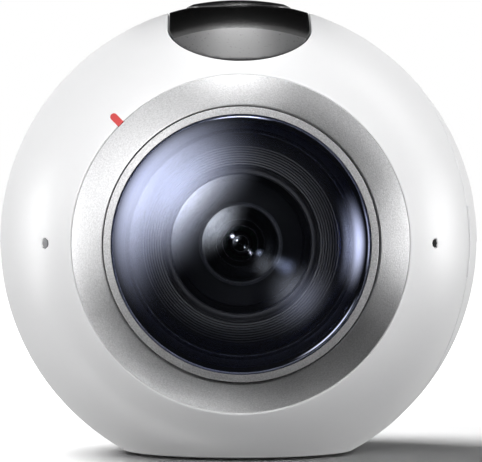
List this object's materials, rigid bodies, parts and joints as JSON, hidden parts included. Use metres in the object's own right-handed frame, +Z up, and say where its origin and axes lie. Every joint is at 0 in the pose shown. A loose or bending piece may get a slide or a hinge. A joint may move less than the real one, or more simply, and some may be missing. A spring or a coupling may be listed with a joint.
{
  "type": "360 degree camera",
  "caption": "Ball-shaped 360 degree camera with back-to-back fisheye lenses, a top shutter button, a hinged side door and a tripod socket in its flat base.",
  "frame": {"origin": "centre of the flat underside of the rubber foot, on the tripod thread's axis", "axes": "+Z up, -Y out of the front lens, +X out of the side door"},
  "size_m": [0.0594, 0.0668, 0.0564],
  "materials": {
    "white_shell": "smooth white moulded plastic with a soft sheen",
    "silver_metal": "satin, fine grained",
    "lens_glass": "polished and coated",
    "black_optics": "matte black",
    "black_gloss": "polished black",
    "black_plastic": "matte black",
    "grey_plastic": "fine moulded texture",
    "red_mark": "satin red inlay",
    "light_window": "translucent grey",
    "circuit_board": "solder mask",
    "steel": "satin",
    "spreader_metal": "satin",
    "gold_contacts": "plated",
    "battery_wrap": "printed film, left plain",
    "seal_rubber": "soft matte rubber"
  },
  "bodies": {
    "camera_body": {"front_shell": "white_shell", "rear_shell": "white_shell", "index_mark": "red_mark", "front_status_window": "light_window", "rear_status_window": "light_window", "front_microphone": "black_plastic", "rear_microphone": "black_plastic", "top_panel": "black_gloss", "display_window": "black_gloss", "display_module": "black_plastic", "display_bracket": "grey_plastic", "top_board": "circuit_board", "key_board": "circuit_board", "hinge_pin": "steel", "battery_bay": "grey_plastic", "door_gasket": "seal_rubber", "battery": "battery_wrap", "battery_contacts": "gold_contacts", "card_socket": "steel", "memory_card": "black_plastic", "charging_socket": "steel", "middle_frame": "grey_plastic", "main_board": "circuit_board", "heat_spreader": "spreader_metal", "base_plate": "white_shell", "rubber_foot": "seal_rubber", "tripod_socket": "steel", "lens_screws": "steel", "base_screws": "steel", "front_lens_ring": "silver_metal", "front_lens_bezel": "silver_metal", "front_dome_lens": "lens_glass", "front_lens_baffle": "black_optics", "front_lens_retainer": "black_optics", "front_inner_lens": "lens_glass", "front_aperture_stop": "black_optics", "front_relay_lens": "lens_glass", "front_lens_barrel": "black_optics", "front_sensor_board": "circuit_board", "rear_lens_ring": "silver_metal", "rear_lens_bezel": "silver_metal", "rear_dome_lens": "lens_glass", "rear_lens_baffle": "black_optics", "rear_lens_retainer": "black_optics", "rear_inner_lens": "lens_glass", "rear_aperture_stop": "black_optics", "rear_relay_lens": "lens_glass", "rear_lens_barrel": "black_optics", "rear_sensor_board": "circuit_board"},
    "door": {"side_door": "white_shell"},
    "shutter": {"shutter_button": "black_gloss"},
    "menu": {"menu_key": "white_shell"},
    "power": {"power_key": "white_shell"}
  },
  "joints": [
    {"name": "door_hinge", "type": "hinge", "parent": "camera_body", "child": "door", "pos_m": [0.02776, 0.00944, 0.0264], "axis": [0, 0, 1], "range_deg": [0, 110]},
    {"name": "shutter_press", "type": "slide", "parent": "camera_body", "child": "shutter", "axis": [0, 0, -1], "range_m": [0, 0.0004], "stiffness_N_per_m": 4000},
    {"name": "menu_press", "type": "slide", "parent": "camera_body", "child": "menu", "axis": [1, 0, 0], "range_m": [0, 0.00035], "stiffness_N_per_m": 4000},
    {"name": "power_press", "type": "slide", "parent": "camera_body", "child": "power", "axis": [1, 0, 0], "range_m": [0, 0.00035], "stiffness_N_per_m": 4000}
  ]
}
